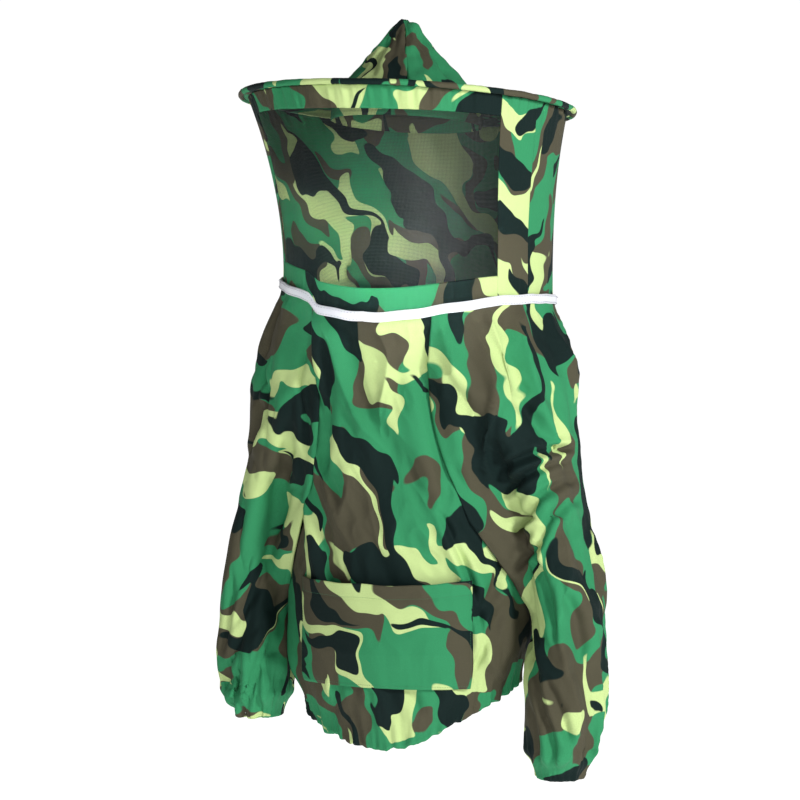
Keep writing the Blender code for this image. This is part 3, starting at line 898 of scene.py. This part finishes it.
# --- stitching -------------------------------------------------------------------------------------
def stitches(name, line, outward, finish, pitch, length, width):
    """A row of raised thread stitches along a line of points that lies on the cloth."""
    steps = np.linalg.norm(np.diff(line, axis=0), axis=1)
    run = np.concatenate([[0], np.cumsum(steps)])
    starts = np.arange(pitch / 2, run[-1] - length, pitch)

    def at(values, t):
        return np.stack([np.interp(t, run, values[:, k]) for k in range(3)], -1)

    a, b, n = at(line, starts), at(line, starts + length), at(outward, starts + length / 2)
    n /= np.linalg.norm(n, axis=1, keepdims=True)
    along = (b - a) / np.linalg.norm(b - a, axis=1, keepdims=True)
    across = np.cross(along, n) * width / 2
    lift = n * width * 0.7
    sink = n * width * 0.5
    inset = along * length * 0.22
    near, far, half = a + inset, b - inset, lift * 0.5
    corners = np.stack([a - sink, near + across + half, far + across + half, b - sink,
                        far - across + half, near - across + half, near + lift, far + lift], 1)
    faces = [(0, 1, 6), (0, 6, 5), (1, 2, 7, 6), (6, 7, 4, 5), (2, 3, 7), (7, 3, 4)]
    polys = [tuple(8 * k + corner for corner in face) for k in range(len(a)) for face in faces]
    mesh = bpy.data.meshes.new(name)
    mesh.from_pydata(corners.reshape(-1, 3).tolist(), [], polys)
    mesh.materials.append(finish)
    o = bpy.data.objects.new(name, mesh)
    bpy.context.scene.collection.objects.link(o)
    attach(o, "jacket")


for line, name in ((TAPE_LOW, "neck_tape_stitches"), (TAPE_HIGH, "neck_tape_top_stitches")):
    outward = np.stack([line[:, 0] - NECK_X, line[:, 1], line[:, 2] * 0], -1) / NECK_RADIUS
    clear = line + outward * 0.0007
    stitches(name, clear, outward, white_thread, 0.0045, 0.0026, 0.0008)
for k, (line, outward) in enumerate(POCKET_LINES):
    stitches(f"pocket_stitches_{k}", line, outward, thread, 0.0030, 0.0021, 0.0004)

# --- stage, camera and light -----------------------------------------------------------------------
FLOOR_Z = -0.95
WHITE_LIGHT = (1, 1, 1, 1)
scene = bpy.context.scene


def glow(material, strength):
    shader = material.node_tree.nodes["Principled BSDF"]
    shader.inputs["Emission Color"].default_value = WHITE_LIGHT
    shader.inputs["Emission Strength"].default_value = strength
    return material


def pale_floor():
    mesh = bpy.data.meshes.new("floor")
    corners = [(-30, -30, FLOOR_Z), (30, -30, FLOOR_Z), (30, 60, FLOOR_Z), (-30, 60, FLOOR_Z)]
    mesh.from_pydata(corners, [], [(0, 1, 2, 3)])
    mesh.materials.append(glow(plain("floor_white", (0.9, 0.9, 0.9), 0.9), 0.90))
    floor = bpy.data.objects.new("floor", mesh)
    scene.collection.objects.link(floor)


def backdrop():
    """A white sphere all round, which the camera sees and which lights nothing."""
    bpy.ops.mesh.primitive_uv_sphere_add(segments=48, ring_count=24, radius=28, location=(0, 0, 0))
    sphere = bpy.context.object
    sphere.name = "backdrop"
    sphere.data.materials.append(glow(plain("backdrop_white", (0, 0, 0), 0.5), 1.0))
    sphere.visible_diffuse = sphere.visible_glossy = sphere.visible_shadow = False
    sphere.visible_transmission = sphere.visible_volume_scatter = False


def area_light(name, place, aim, size, power, spread=180.0):
    data = bpy.data.lights.new(name, "AREA")
    data.shape, data.size, data.energy, data.spread = "DISK", size, power, math.radians(spread)
    o = bpy.data.objects.new(name, data)
    scene.collection.objects.link(o)
    o.location = place
    o.rotation_euler = (Vector(aim) - Vector(place)).to_track_quat("-Z", "Y").to_euler()


pale_floor()
backdrop()
world = bpy.data.worlds.new("studio")
scene.world = world
world.use_nodes = True
world.node_tree.nodes["Background"].inputs["Color"].default_value = WHITE_LIGHT
world.node_tree.nodes["Background"].inputs["Strength"].default_value = 0.20

AZIMUTH, DISTANCE = math.radians(22), 2.53
right = Vector((math.cos(AZIMUTH), math.sin(AZIMUTH), 0))
toward = Vector((math.sin(AZIMUTH), -math.cos(AZIMUTH), 0))
aim = Vector((0, 0, -0.125)) - right * 0.015
key_place = aim + toward * 1.9 + right * 1.5 + Vector((0, 0, 0.65))
area_light("key", key_place, aim, 0.45, 54)
fill_place = aim + toward * 2.6 + right * 0.4 + Vector((0, 0, -0.1))
area_light("fill", fill_place, aim + Vector((0, 0, 0.2)), 0.8, 12)
# a narrow light goes in through the net, so that the cloth behind the head shows
inside_veil = Vector((0, 0, 0.075)) - right * 0.055
veil_place = inside_veil + toward * 2.3 + right * 0.35 - Vector((0, 0, 0.25))
area_light("veil_light", veil_place, inside_veil, 0.15, 0.22, 7.5)

camera = bpy.data.objects.new("camera", bpy.data.cameras.new("camera"))
scene.collection.objects.link(camera)
camera.data.lens, camera.data.sensor_width = 90.8, 36
camera.location = aim + toward * DISTANCE
camera.rotation_euler = (-toward).to_track_quat("-Z", "Y").to_euler()
scene.camera = camera
scene.view_settings.view_transform = "Standard"
